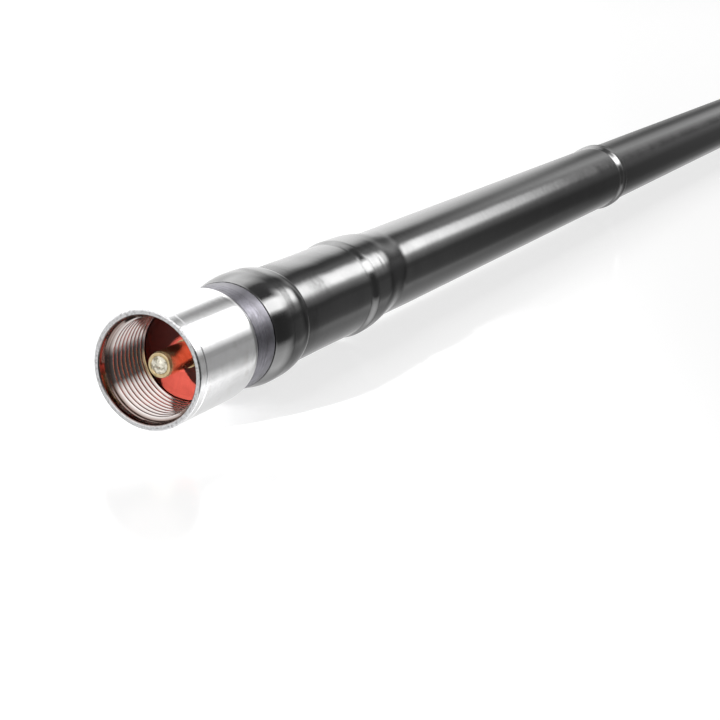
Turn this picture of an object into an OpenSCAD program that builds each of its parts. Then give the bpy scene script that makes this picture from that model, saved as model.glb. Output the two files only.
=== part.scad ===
// Mobile radio antenna: a wound glass-fibre whip on a screw-on coaxial plug.
// It lies along +X with +Z up. The origin is the centre of the coupling shell's mouth.
// All sizes are in millimetres, and stations along the axis are named x_something.

/* [Coupling shell] */
// Outer diameter of the coupling shell
shell_d = 18; // [17.6:0.1:22]
// Length of the shell from its mouth to its rear face
shell_len = 17.5; // [16:0.5:24]
// Diameter of the plain lead-in bore at the mouth
mouth_bore_d = 16.2; // [15.4:0.1:16.6]
// Depth of the plain lead-in bore
mouth_bore_depth = 1.5; // [0.6:0.1:2.6]
// Minor diameter of the coupling thread
thread_minor_d = 14.75; // [14.4:0.05:15]
// Diameter of the clearance behind the thread
relief_d = 15.6; // [15.2:0.1:16.2]
// Thickness of the inward lip that keeps the shell on the plug
lip_t = 2.2; // [1.5:0.1:3]
// Distance of the narrow line round the shell from the mouth
shell_line_x = 1.75; // [1:0.05:4]
// Width of the narrow line round the shell
shell_line_w = 0.22; // [0.1:0.02:0.4]
// Depth of the narrow line round the shell
shell_line_depth = 0.12; // [0.05:0.01:0.2]
// Chamfer round the mouth's outer edge
mouth_edge = 0.3; // [0.1:0.05:0.4]
// Chamfer round the mouth's inner edge
mouth_inner_edge = 0.2; // [0.1:0.05:0.3]
// Chamfer round the rear edge of the shell
rear_edge = 0.6; // [0.2:0.05:0.9]

/* [Plug front] */
// Diameter of the centre pin where it stands in the shell
pin_d = 4; // [3.6:0.05:4.2]
// Diameter of the pin's shank in the insulator
shank_d = 4.4; // [4.3:0.05:4.8]
// Bore of the hollow pin
pin_bore_d = 2.7; // [2.2:0.1:3]
// Length of pin that stands in front of the insulator
pin_reach = 7.6; // [6:0.1:9]
// Length of pin behind the insulator
pin_tail = 9.2; // [8:0.1:12]
// Rounding of the pin's tip
pin_tip_edge = 0.5; // [0.2:0.05:0.6]
// Diameter of the shoulder that traps the pin
pin_shoulder_d = 6.4; // [5.6:0.1:8]
// Thickness of the shoulder that traps the pin
pin_shoulder_t = 1; // [0.6:0.1:1.6]
// Length of solder in the tip of the pin
solder_len = 3.5; // [2:0.1:5]
// Height of the solder's crown in front of the pin
solder_crown = 0.12; // [0.05:0.01:0.3]
// Thickness of the insulator disc in front of the plug body
insulator_t = 2.2; // [1.5:0.1:3.5]
// Length of the insulator's spigot in the plug body
spigot_t = 1.6; // [1:0.1:3]
// Length of the rear insulator bush
rear_insulator_len = 6; // [4:0.1:8]

/* [Plug body] */
// Thickness of the body's front flange
flange_t = 2; // [1.5:0.1:3]
// Diameter of the body behind the flange
neck_d = 12.3; // [11.9:0.1:12.6]
// Bore of the body round the insulators
body_bore_d = 9.2; // [8.4:0.1:9.8]
// Bore of the body's hollow tail
cavity_d = 7.6; // [7.2:0.1:8]
// Length of the body's tail inside the coil housing
tail_in = 7.3; // [5:0.1:9]
// Diameter of the dark collar behind the shell
collar_d = 17; // [16.4:0.1:17.6]
// Length of the dark collar
collar_len = 5.4; // [4:0.1:8]
// Number of fine turned rings round the collar
collar_rings = 3; // [1:1:4]
// Distance between the collar's turned rings
collar_ring_pitch = 0.9; // [0.7:0.05:1.1]
// Width of a turned ring
collar_ring_w = 0.3; // [0.15:0.05:0.4]
// Depth of a turned ring
collar_ring_depth = 0.12; // [0.05:0.01:0.2]
// Chamfer round the collar's edges
collar_edge = 0.2; // [0.1:0.05:0.3]
// Thickness of the seal ring behind the collar
seal_t = 1.8; // [1.5:0.05:1.9]

/* [Base ferrule and coil housing] */
// Diameter of the ferrule behind the seal ring
ferrule_d = 17; // [16.6:0.1:17.6]
// Length of the ferrule
ferrule_len = 8.4; // [7:0.1:11]
// Length of the ferrule's rounded front
ferrule_front = 4.2; // [3:0.1:6]
// Chamfer round the ferrule's rear edge
ferrule_edge = 0.4; // [0.2:0.05:0.6]
// Depth of the socket in the ferrule that holds the housing
ferrule_socket = 4.5; // [3:0.1:6]
// Outer diameter of the coil housing
housing_d = 15.06; // [14.8:0.02:15.4]
// Length of the coil former between the plug body and the rod ferrule
former_len = 18; // [16:0.5:30]
// Diameter of the coil former's core
former_core_d = 6; // [5:0.1:6.4]
// Thickness of the coil former's end flanges
former_flange_t = 1.5; // [1:0.1:2]
// Turns of the matching coil
coil_turns = 8; // [5:1:9]
// Wire diameter of the matching coil
coil_wire_d = 1; // [0.6:0.05:1]
// Diameter of the two soldering terminals
terminal_d = 4.8; // [4:0.1:5]
// Thickness of the two soldering terminals
terminal_t = 0.6; // [0.4:0.05:0.8]
// Diameter of the feed wire and the output wire
lead_d = 1; // [0.8:0.05:1.2]
// Diameter of the shunt capacitor
cap_d = 3; // [2.4:0.1:3]
// Thickness of the shunt capacitor
cap_t = 1.4; // [1:0.1:1.4]
// Diameter of the capacitor's wires
cap_lead_d = 0.5; // [0.3:0.05:0.6]

/* [Rod ferrule] */
// Length of the rod ferrule's spigot in the housing
ferrule_spigot = 4.7; // [4:0.1:7]
// Diameter of the rod ferrule's head
head_d = 15.8; // [15.4:0.1:17]
// Length of the rod ferrule's head
head_len = 3.8; // [3.6:0.1:8]
// Length of the taper behind the head
head_taper = 7.5; // [7:0.1:10]
// Depth of the socket that holds the rod
rod_socket = 10.8; // [10.4:0.1:11.2]
// Diameter of the two grub screws
grub_d = 2.5; // [2:0.1:2.8]
// Land left between the grub screws and the rear edge of the head
grub_land = 0.15; // [0.1:0.05:0.4]
// Depth of the hexagon in a grub screw
grub_hex_depth = 1.1; // [0.6:0.1:1.3]
// Width of the hexagon in a grub screw
grub_hex_w = 1.5; // [1.2:0.1:1.6]

/* [Rod and winding] */
// Diameter of the glass-fibre rod
rod_d = 12; // [11:0.1:12.4]
// Length of the glass-fibre rod
rod_len = 422.8; // [300:0.1:900]
// Turns of the radiating winding
winding_turns = 24; // [12:1:28]
// Wire diameter of the radiating winding
winding_wire_d = 0.8; // [0.5:0.05:0.8]
// Length of the soldered band that ends the winding
band_len = 4; // [2:0.1:8]
// Wall of the soldered band
band_t = 0.4; // [0.2:0.05:0.6]
// Distance of the band from the rod's far end
band_inset = 12; // [8:0.5:30]

/* [Sleeves and cap] */
// Wall of the upper sleeve
upper_sleeve_t = 0.52; // [0.3:0.02:0.8]
// Distance from the mouth to the far end of the base sleeve
base_sleeve_end = 214.8; // [150:0.1:260]
// Length over which the base sleeve overlaps the upper sleeve
sleeve_lap = 3.3; // [2:0.1:8]
// Wall of the base sleeve
base_sleeve_t = 0.77; // [0.6:0.01:1]
// Wall of the base sleeve at its front edge
front_lip_t = 0.57; // [0.4:0.01:0.8]
// Length of the base sleeve's straight front edge
front_lip_len = 2.1; // [1.5:0.1:3]
// Length over which the base sleeve swells to the ferrule's full width
ferrule_swell = 5.8; // [4:0.1:7]
// Length over which the base sleeve falls from the ferrule to the housing
ferrule_fall = 2.5; // [2:0.1:4]
// Length over which the base sleeve rises from the housing to the rod ferrule's head
head_rise = 2.9; // [2:0.1:4]
// Length that the base sleeve takes beyond the rod ferrule's taper to lie down on the winding
taper_drape = 2.3; // [1:0.1:4]
// Length of the cap's skirt over the upper sleeve
cap_skirt = 10; // [6:0.5:20]
// Wall of the cap's skirt
cap_wall = 0.6; // [0.5:0.05:1.2]
// Solid length of the cap beyond the rod
cap_nose = 8; // [6:0.5:14]

/* [Fits] */
// Radial gap between the shell's lip and the plug body, a running fit
swivel_gap = 0.06; // [0.02:0.01:0.1]
// Gap in front of and behind the shell's lip
end_float = 0.1; // [0.05:0.01:0.2]
// Radial gap between the thread's crests and the body's flange
flange_gap = 0.15; // [0.1:0.01:0.25]
// Gap left round the seal ring, the windings and the sleeve's front edge
lay_gap = 0.02; // [0.01:0.01:0.03]

/* [Hidden] */
round_fn = 96;
past = 1;

// Radii that more than one piece uses
shell_r = shell_d / 2;
thread_r = thread_minor_d / 2;
flange_r = thread_r - flange_gap;
neck_r = neck_d / 2;
pin_r = pin_d / 2;
shank_r = shank_d / 2;
pin_bore_r = pin_bore_d / 2;
body_bore_r = body_bore_d / 2;
cavity_r = cavity_d / 2;
collar_r = collar_d / 2;
ferrule_r = ferrule_d / 2;
housing_r = housing_d / 2;
head_r = head_d / 2;
rod_r = rod_d / 2;
lead_r = lead_d / 2;
seal_r = neck_r + seal_t + 2 * lay_gap;

// Stations of the plug, worked back from the lip of the shell
x_lip = shell_len - lip_t;
x_flange_back = x_lip - end_float;
x_flange = x_flange_back - flange_t;
x_insulator = x_flange - insulator_t;
x_spigot_back = x_flange + spigot_t;
x_shoulder_back = x_spigot_back + pin_shoulder_t;
x_rear_insulator_back = x_shoulder_back + rear_insulator_len;
x_pin_tip = x_insulator - pin_reach;
x_pin_back = x_shoulder_back + pin_tail;
thread_past_disc = 0.4;
x_thread_end = x_insulator + thread_past_disc;
thread_lead = (mouth_bore_d - thread_minor_d) / 2;

// Stations of the base, worked back from the rear of the shell
x_collar = shell_len + end_float;
x_collar_back = x_collar + collar_len;
x_ferrule = x_collar_back + seal_t + 2 * lay_gap;
x_ferrule_back = x_ferrule + ferrule_len;
x_housing = x_ferrule_back - ferrule_socket;
x_body_back = x_housing + tail_in;
x_former_back = x_body_back + former_len;
x_head = x_former_back + ferrule_spigot;
x_head_back = x_head + head_len;
x_taper_back = x_head_back + head_taper;
x_rod = x_taper_back - rod_socket;
x_rod_end = x_rod + rod_len;
x_grub = x_head_back - grub_land - grub_d / 2;
head_front_run = 2 * (head_r - housing_r);

// Winding, sleeves and cap
winding_chord = 18;
winding_r = (rod_r + winding_wire_d / 2 + lay_gap) / cos(180 / winding_chord);
wound_r = winding_r + winding_wire_d / 2 + 3 * lay_gap;
x_band_back = x_rod_end - band_inset;
x_band = x_band_back - band_len;
x_winding = x_taper_back + winding_wire_d;
x_winding_end = x_band - winding_wire_d;
upper_r = wound_r + upper_sleeve_t;
x_upper = base_sleeve_end - sleeve_lap;
cap_floor_t = 2;
x_upper_end = x_rod_end - cap_floor_t;
cap_r = upper_r + cap_wall;
x_cap = x_upper_end - cap_skirt;
x_cap_end = x_rod_end + cap_nose;

// Coil in the housing
coil_chord = 18;
coil_r = (former_core_d / 2 + coil_wire_d / 2 + lay_gap) / cos(180 / coil_chord);
coil_end_r = terminal_d / 2 + coil_wire_d / 2 + lay_gap;
coil_room = 1;
x_coil = x_body_back + former_flange_t + coil_room;
x_coil_end = x_former_back - former_flange_t - coil_room;
recess_t = 1.5;

// A body of revolution about the X axis from an outline of [x, radius] points
module turned(outline) {
    rotate([0, 90, 0])
        rotate_extrude($fn = round_fn)
            polygon([for (p = outline) [p[1], p[0]]]);
}

// A plain round bar along X
module bar(d, x0, x1) {
    translate([x0, 0, 0])
        rotate([0, 90, 0])
            cylinder(d = d, h = x1 - x0, $fn = round_fn);
}

// Smooth step from 0 to 1 as t goes from 0 to 1
function ease(t) = t * t * (3 - 2 * t);

// Outline points of a smooth rise or fall from radius r0 at x0 to radius r1 at x1
function blend(x0, r0, x1, r1, steps) =
    [for (i = [0:steps]) [x0 + (x1 - x0) * i / steps, r0 + (r1 - r0) * ease(i / steps)]];

// Outline points of a quarter ellipse that rises from the point (x0, r0) to the level r1 at x1
function swell(x0, r0, x1, r1, steps) =
    [for (i = [0:steps]) let (a = 90 * i / steps)
        [x0 + (x1 - x0) * (1 - cos(a)), r0 + (r1 - r0) * sin(a)]];

// Outline points of the ferrule's rounded front, which the base sleeve lies on
function ferrule_front_line() =
    blend(x_ferrule, seal_r, x_ferrule + ferrule_front, ferrule_r, 6);

function reversed(list) = [for (i = [len(list) - 1:-1:0]) list[i]];

function unit(v) = v / norm(v);

// A point of a winding from its station, radius and angle round the axis
function on_axis(p) = [p[0], p[1] * cos(p[2]), p[1] * sin(p[2])];

// One ring of a wire's skin about point c, with the wire running along t and n pointing outwards
function wire_ring(c, t, n, r, sides) =
    let (b = unit(cross(t, n)), m = cross(b, t))
    [for (k = [0:sides - 1]) c + r * (cos(360 * k / sides) * m + sin(360 * k / sides) * b)];

// A round wire that follows a list of [station, radius, angle] points
module wire(route, d, sides) {
    last = len(route) - 1;
    centres = [for (p = route) on_axis(p)];
    skin = [for (i = [0:last])
        let (t = unit(centres[min(i + 1, last)] - centres[max(i - 1, 0)]))
        each wire_ring(centres[i], t, [0, cos(route[i][2]), sin(route[i][2])], d / 2, sides)];
    walls = [for (i = [0:last - 1], k = [0:sides - 1])
        let (a = i * sides + k, b = i * sides + (k + 1) % sides)
        each [[a, a + sides, b + sides], [a, b + sides, b]]];
    near_end = [for (k = [0:sides - 1]) k];
    far_end = [for (k = [0:sides - 1]) last * sides + sides - 1 - k];
    polyhedron(points = skin, faces = concat(walls, [near_end], [far_end]));
}

// Chromed nut of the plug: threaded inside, with a lip behind that keeps it on the body
module coupling_shell() {
    mouth_r = mouth_bore_d / 2;
    line_floor = shell_r - shell_line_depth;
    color("gainsboro")
        turned([
            [0, mouth_r + mouth_inner_edge],
            [0, shell_r - mouth_edge],
            [mouth_edge, shell_r],
            [shell_line_x, shell_r],
            [shell_line_x, line_floor],
            [shell_line_x + shell_line_w, line_floor],
            [shell_line_x + shell_line_w, shell_r],
            [shell_len - rear_edge, shell_r],
            [shell_len, shell_r - rear_edge],
            [shell_len, neck_r + swivel_gap],
            [x_lip, neck_r + swivel_gap],
            [x_lip, relief_d / 2],
            [x_thread_end + (relief_d / 2 - thread_r), relief_d / 2],
            [x_thread_end, thread_r],
            [mouth_bore_depth + thread_lead, thread_r],
            [mouth_bore_depth, mouth_r],
            [mouth_inner_edge, mouth_r]
        ]);
}

// Hollow centre pin, with a shank in the insulator and a shoulder behind it
module centre_pin() {
    color("goldenrod")
        turned([
            [x_pin_tip, pin_bore_r],
            for (p = swell(x_pin_tip, pin_r - pin_tip_edge, x_pin_tip + pin_tip_edge, pin_r, 5)) p,
            [x_insulator, pin_r],
            [x_insulator, shank_r],
            [x_spigot_back, shank_r],
            [x_spigot_back, pin_shoulder_d / 2],
            [x_shoulder_back, pin_shoulder_d / 2],
            [x_shoulder_back, pin_r],
            [x_pin_back, pin_r],
            [x_pin_back, pin_bore_r]
        ]);
}

// Solder that fills the tip of the pin round the feed wire
module pin_solder() {
    color("lightgrey")
        turned([
            for (p = swell(x_pin_tip - solder_crown, 0, x_pin_tip, pin_bore_r, 6)) p,
            [x_pin_tip + solder_len, pin_bore_r],
            [x_pin_tip + solder_len, lead_r],
            [x_pin_tip + lead_d, lead_r],
            [x_pin_tip + lead_d, 0]
        ]);
}

// Red moulded disc that closes the front of the plug body
module insulator_disc() {
    disc_edge = 0.2;
    color("firebrick")
        turned([
            [x_insulator, shank_r],
            [x_insulator, flange_r - disc_edge],
            [x_insulator + disc_edge, flange_r],
            [x_flange, flange_r],
            [x_flange, body_bore_r],
            [x_spigot_back, body_bore_r],
            [x_spigot_back, shank_r]
        ]);
}

// White bush that holds the tail of the pin in the middle of the plug body
module rear_insulator() {
    color("ivory")
        turned([
            [x_shoulder_back, pin_r],
            [x_shoulder_back, body_bore_r],
            [x_rear_insulator_back, body_bore_r],
            [x_rear_insulator_back, pin_r]
        ]);
}

// Turned body of the plug: a front flange, a long neck and a hollow tail
module plug_body() {
    flange_edge = 0.2;
    color("silver")
        turned([
            [x_flange, body_bore_r],
            [x_flange, flange_r - flange_edge],
            [x_flange + flange_edge, flange_r],
            [x_flange_back, flange_r],
            [x_flange_back, neck_r],
            [x_body_back, neck_r],
            [x_body_back, cavity_r],
            [x_rear_insulator_back, cavity_r],
            [x_rear_insulator_back, body_bore_r],
            [x_spigot_back + pin_shoulder_t, body_bore_r]
        ]);
}

// Dark collar that stops the shell from behind, with fine turned rings near its front
module neck_collar() {
    ring_floor = collar_r - collar_ring_depth;
    color("dimgray")
        turned([
            [x_collar, neck_r],
            [x_collar, collar_r - collar_edge],
            [x_collar + collar_edge, collar_r],
            for (i = [1:collar_rings])
                let (x = x_collar + i * collar_ring_pitch)
                each [
                    [x, collar_r],
                    [x, ring_floor],
                    [x + collar_ring_w, ring_floor],
                    [x + collar_ring_w, collar_r]
                ],
            [x_collar_back - collar_edge, collar_r],
            [x_collar_back, collar_r - collar_edge],
            [x_collar_back, neck_r]
        ]);
}

// Rubber ring between the collar and the base ferrule
module seal_ring() {
    color("black")
        translate([x_collar_back + lay_gap + seal_t / 2, 0, 0])
            rotate([0, 90, 0])
                rotate_extrude($fn = round_fn)
                    translate([neck_r + lay_gap + seal_t / 2, 0])
                        circle(d = seal_t, $fn = 32);
}

// Brass ferrule that joins the plug body and the coil housing
module base_ferrule() {
    color("goldenrod")
        turned([
            [x_ferrule, neck_r],
            each ferrule_front_line(),
            [x_ferrule_back - ferrule_edge, ferrule_r],
            [x_ferrule_back, ferrule_r - ferrule_edge],
            [x_ferrule_back, housing_r],
            [x_housing, housing_r],
            [x_housing, neck_r]
        ]);
}

// Glass-fibre tube round the matching coil
module coil_housing() {
    color("tan")
        turned([
            [x_housing, neck_r],
            [x_housing, housing_r],
            [x_head, housing_r],
            [x_head, neck_r]
        ]);
}

// Moulded bobbin of the matching coil, with a slot in each flange for the wire
module coil_former() {
    slot_w = coil_wire_d + 0.4;
    slot_floor = coil_end_r - coil_wire_d / 2 - 0.1;
    core_r = former_core_d / 2;
    color("wheat")
        difference() {
            turned([
                [x_body_back, lead_r],
                [x_body_back, neck_r],
                [x_body_back + former_flange_t, neck_r],
                [x_body_back + former_flange_t, core_r],
                [x_former_back - former_flange_t, core_r],
                [x_former_back - former_flange_t, neck_r],
                [x_former_back, neck_r],
                [x_former_back, lead_r]
            ]);
            for (x = [x_body_back - past, x_former_back - former_flange_t - coil_room])
                translate([x, -slot_w / 2, slot_floor])
                    cube([former_flange_t + coil_room + past, slot_w, neck_r]);
        }
}

// Round tag with a hole for the wire
module terminal(x) {
    difference() {
        bar(terminal_d, x, x + terminal_t);
        bar(lead_d, x - past, x + terminal_t + past);
    }
}

// Tinned tag on the front of the coil former
module input_terminal() {
    color("lightgrey") terminal(x_body_back - terminal_t);
}

// Tinned tag on the rear of the coil former
module output_terminal() {
    color("lightgrey") terminal(x_former_back);
}

// Enamelled wire wound on the former, with an end laid on each terminal
module matching_coil() {
    steps = coil_turns * coil_chord;
    turns = [for (i = [0:steps])
        [x_coil + (x_coil_end - x_coil) * i / steps, coil_r, 90 + 360 * i / coil_chord]];
    start = [
        [x_body_back - terminal_t, coil_end_r, 90],
        [x_body_back + former_flange_t / 2, coil_end_r, 90]
    ];
    finish = [
        [x_former_back - former_flange_t / 2, coil_end_r, 90],
        [x_former_back + terminal_t, coil_end_r, 90]
    ];
    color("chocolate") wire(concat(start, turns, finish), coil_wire_d, 6);
}

// Ceramic disc capacitor between the feed wire and the wall of the plug body
module shunt_capacitor() {
    x = x_rear_insulator_back + (x_body_back - x_rear_insulator_back) * 0.6;
    z = -(lead_r + cavity_r) / 2;
    wall_touch = sqrt(pow(cavity_r, 2) - pow(cap_lead_d / 2, 2));
    color("peru") {
        translate([x, cap_t / 2, z])
            rotate([90, 0, 0])
                cylinder(d = cap_d, h = cap_t, $fn = 48);
        translate([x, 0, -wall_touch])
            cylinder(d = cap_lead_d, h = wall_touch - lead_r, $fn = 24);
    }
}

// Tinned wire from the solder in the pin to the input terminal
module feed_lead() {
    color("lightgrey") bar(lead_d, x_pin_tip + lead_d, x_body_back + former_flange_t);
}

// Tinned wire from the output terminal into the rod ferrule
module output_lead() {
    color("lightgrey") bar(lead_d, x_former_back - former_flange_t, x_rod);
}

// Ferrule that carries the rod: a spigot in the housing, a head and a long taper
module rod_ferrule() {
    color("goldenrod")
        difference() {
            turned([
                [x_former_back, cavity_r],
                [x_former_back, neck_r],
                [x_head, neck_r],
                [x_head, housing_r],
                [x_head + head_front_run, head_r],
                [x_head_back, head_r],
                [x_taper_back, wound_r],
                [x_taper_back, rod_r],
                [x_rod, rod_r],
                [x_rod, lead_r],
                [x_former_back + recess_t, lead_r],
                [x_former_back + recess_t, cavity_r]
            ]);
            for (side = [0, 180])
                rotate([side, 0, 0])
                    translate([x_grub, 0, 0])
                        cylinder(d = grub_d, h = head_r + past, $fn = 48);
        }
}

// Two screws that bite on the rod from opposite sides, each with a hexagon socket
module grub_screws() {
    sunk = 0.05;
    outer_end = sqrt(pow(head_r, 2) - pow(grub_d / 2, 2)) - sunk;
    color("darkgray")
        for (side = [0, 180])
            rotate([side, 0, 0])
                translate([x_grub, 0, 0])
                    difference() {
                        translate([0, 0, rod_r])
                            cylinder(d = grub_d, h = outer_end - rod_r, $fn = 48);
                        translate([0, 0, outer_end - grub_hex_depth])
                            cylinder(d = grub_hex_w, h = grub_hex_depth + past, $fn = 6);
                    }
}

// Solid glass-fibre rod
module core_rod() {
    color("beige") bar(rod_d, x_rod, x_rod_end);
}

// Enamelled wire wound along the rod from the rod ferrule to the far band
module radiator_winding() {
    steps = winding_turns * winding_chord;
    color("chocolate")
        wire([for (i = [0:steps])
            [x_winding + (x_winding_end - x_winding) * i / steps, winding_r, 360 * i / winding_chord]],
            winding_wire_d, 5);
}

// Copper band that the far end of the winding is soldered to
module winding_band() {
    color("peru")
        turned([
            [x_band, rod_r],
            [x_band, rod_r + band_t],
            [x_band_back, rod_r + band_t],
            [x_band_back, rod_r]
        ]);
}

// Upper heat-shrink sleeve over the wound rod
module upper_sleeve() {
    color([0.1, 0.1, 0.1])
        turned([
            [x_upper, wound_r],
            [x_upper, upper_r],
            [x_upper_end, upper_r],
            [x_upper_end, wound_r]
        ]);
}

// Base heat-shrink sleeve, drawn down over both ferrules, the housing and the foot of the whip
module base_sleeve() {
    ferrule_skin = ferrule_r + base_sleeve_t;
    housing_skin = housing_r + base_sleeve_t;
    head_skin = head_r + base_sleeve_t;
    whip_skin = wound_r + base_sleeve_t;
    ridge_skin = upper_r + base_sleeve_t * 0.9;
    front_skin = seal_r + front_lip_t;
    x_front = x_collar_back + 5 * lay_gap;
    x_swell = x_front + front_lip_len;
    x_fall = x_ferrule_back - ferrule_fall / 2;
    x_rise = x_head - 0.25;
    ridge_run = 2;
    bridge = 1.4;
    back_edge = 0.4;
    outer = [
        [x_front, front_skin],
        each swell(x_swell, front_skin, x_swell + ferrule_swell, ferrule_skin, 8),
        each blend(x_fall, ferrule_skin, x_fall + ferrule_fall, housing_skin, 8),
        each blend(x_rise, housing_skin, x_rise + head_rise, head_skin, 8),
        each blend(x_head_back - 0.7, head_skin, x_taper_back + taper_drape, whip_skin, 10),
        each blend(x_upper - ridge_run, whip_skin, x_upper + base_sleeve_t, ridge_skin, 8),
        for (p = swell(0, 0, back_edge, back_edge, 4))
            [base_sleeve_end - back_edge + p[1], ridge_skin - p[0]]
    ];
    inner = [
        [base_sleeve_end, upper_r],
        [x_upper, upper_r],
        [x_upper - upper_sleeve_t, wound_r],
        [x_taper_back, wound_r],
        [x_head_back, head_r],
        [x_head + head_front_run, head_r],
        [x_head, housing_r],
        [x_ferrule_back + bridge, housing_r],
        [x_ferrule_back, ferrule_r - ferrule_edge],
        [x_ferrule_back - ferrule_edge, ferrule_r],
        each reversed(ferrule_front_line()),
        [x_front, seal_r]
    ];
    color([0.08, 0.08, 0.08]) turned(concat(outer, inner));
}

// Moulded cap over the far end of the rod and the upper sleeve
module tip_cap() {
    skirt_edge = 0.3;
    color([0.12, 0.12, 0.12])
        turned(concat(
            [
                [x_cap, upper_r],
                [x_cap, cap_r - skirt_edge],
                [x_cap + skirt_edge, cap_r],
                [x_rod_end, cap_r]
            ],
            [for (i = [1:12]) let (a = 90 * i / 12)
                [x_rod_end + cap_nose * sin(a), i == 12 ? 0 : cap_r * cos(a)]],
            [
                [x_rod_end, 0],
                [x_rod_end, rod_r],
                [x_upper_end, rod_r],
                [x_upper_end, upper_r]
            ]
        ));
}

coupling_shell();
centre_pin();
pin_solder();
insulator_disc();
rear_insulator();
plug_body();
neck_collar();
seal_ring();
base_ferrule();
coil_housing();
coil_former();
input_terminal();
output_terminal();
matching_coil();
shunt_capacitor();
feed_lead();
output_lead();
rod_ferrule();
grub_screws();
core_rod();
radiator_winding();
winding_band();
upper_sleeve();
base_sleeve();
tip_cap();
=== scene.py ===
import math

import bmesh
import bpy
from mathutils import Matrix, Vector, noise


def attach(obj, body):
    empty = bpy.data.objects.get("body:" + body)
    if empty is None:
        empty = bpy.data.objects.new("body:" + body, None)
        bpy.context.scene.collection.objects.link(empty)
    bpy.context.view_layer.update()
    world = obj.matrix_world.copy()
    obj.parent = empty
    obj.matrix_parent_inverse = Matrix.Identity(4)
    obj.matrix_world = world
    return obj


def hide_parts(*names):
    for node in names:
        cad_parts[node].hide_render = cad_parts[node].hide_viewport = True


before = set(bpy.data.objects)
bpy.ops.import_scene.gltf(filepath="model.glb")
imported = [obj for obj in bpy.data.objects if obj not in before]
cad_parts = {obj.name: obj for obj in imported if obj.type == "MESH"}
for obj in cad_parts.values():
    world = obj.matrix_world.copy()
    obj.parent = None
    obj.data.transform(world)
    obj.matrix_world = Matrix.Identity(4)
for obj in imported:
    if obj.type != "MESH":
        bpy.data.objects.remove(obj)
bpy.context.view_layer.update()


# CENTRE PIN
# The hollow contact in the middle of the plug, 4 mm across. It is turned from brass, gilded and
# polished, and its shank and shoulder are trapped between the two insulators.

MM = 0.001


def ease(t):
    """Smooth step from 0 to 1 as t goes from 0 to 1."""
    t = min(max(t, 0.0), 1.0)
    return t * t * (3 - 2 * t)


def rounded(corners, steps=4):
    """Outline with soft edges from [station, radius, rounding] corners, in millimetres."""
    outline = []
    count = len(corners)
    for i, (x, r, cut) in enumerate(corners):
        if cut == 0:
            outline.append((x, r))
            continue
        here = Vector((x, r))
        before = (Vector(corners[i - 1][:2]) - here).normalized()
        after = (Vector(corners[(i + 1) % count][:2]) - here).normalized()
        outline.append(tuple(here + before * cut * 1.25))
        for k in range(steps + 1):
            t = k / steps
            near = here + before * cut * (1 - t)
            far = here + after * cut * t
            outline.append(tuple(near.lerp(far, t)))
        outline.append(tuple(here + after * cut * 1.25))
    return outline


def add_piece(name, points, faces, crease=35):
    """Object from points in millimetres, with its faces smooth and its edges crisp."""
    mesh = bpy.data.meshes.new(name)
    mesh.from_pydata([Vector(p) * MM for p in points], [], faces)
    work = bmesh.new()
    work.from_mesh(mesh)
    bmesh.ops.remove_doubles(work, verts=work.verts, dist=2e-7)
    bmesh.ops.recalc_face_normals(work, faces=work.faces)
    work.to_mesh(mesh)
    work.free()
    mesh.polygons.foreach_set("use_smooth", [True] * len(mesh.polygons))
    mesh.set_sharp_from_angle(angle=math.radians(crease))
    piece = bpy.data.objects.new(name, mesh)
    bpy.context.scene.collection.objects.link(piece)
    return piece


def spun(outline, around, closed=True, sway=None):
    """Points and faces of an outline of [station, radius] points spun round the X axis."""
    points = []
    for x, r in outline:
        for j in range(around):
            angle = math.tau * j / around
            reach = r + sway(x, angle, r) if sway else r
            points.append((x, reach * math.cos(angle), reach * math.sin(angle)))
    rows = len(outline)
    faces = []
    for i in range(rows if closed else rows - 1):
        low = i * around
        high = (i + 1) % rows * around
        for j in range(around):
            k = (j + 1) % around
            faces.append((low + j, low + k, high + k, high + j))
    return points, faces


def start_finish(name, colour, metallic, roughness):
    """Material with one principled shader; returns the material, its node tree and the shader."""
    material = bpy.data.materials.new(name)
    material.use_nodes = True
    shader = material.node_tree.nodes["Principled BSDF"]
    shader.inputs["Base Color"].default_value = (*colour, 1)
    shader.inputs["Metallic"].default_value = metallic
    shader.inputs["Roughness"].default_value = roughness
    return material, material.node_tree, shader


def start_effect(name, inputs, outputs):
    """Node group with named inputs {name: value} and outputs {name: kind}."""
    group = bpy.data.node_groups.new(name, "ShaderNodeTree")
    for label, value in inputs.items():
        kind = "NodeSocketColor" if isinstance(value, tuple) else "NodeSocketFloat"
        socket = group.interface.new_socket(label, in_out="INPUT", socket_type=kind)
        socket.default_value = (*value, 1) if isinstance(value, tuple) else value
    for label, kind in outputs.items():
        group.interface.new_socket(label, in_out="OUTPUT", socket_type=kind)
    return group, group.nodes.new("NodeGroupInput").outputs, group.nodes.new("NodeGroupOutput").inputs


def add_node(tree, kind, settings=None, **inputs):
    """Node with settings on itself and values or links on its inputs (underscores stand for spaces)."""
    node = tree.nodes.new(kind)
    for label, value in (settings or {}).items():
        setattr(node, label, value)
    for label, value in inputs.items():
        key = int(label[1:]) if label[0] == "i" and label[1:].isdigit() else label.replace("_", " ")
        socket = node.inputs[key]
        if isinstance(value, bpy.types.NodeSocket):
            tree.links.new(value, socket)
        elif isinstance(value, tuple) and len(value) == 3 and socket.type == "RGBA":
            socket.default_value = (*value, 1)
        else:
            socket.default_value = value
    return node


def calculate(tree, operation, *values):
    """Result of one sum on values or links."""
    terms = {f"i{k}": value for k, value in enumerate(values)}
    return add_node(tree, "ShaderNodeMath", {"operation": operation}, **terms).outputs[0]


def spread(tree, value, low, high):
    """Runs from 0 to 1 as a value goes from low to high, and stays there past them."""
    return add_node(tree, "ShaderNodeMapRange", Value=value, From_Min=low, From_Max=high).outputs[0]


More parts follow.
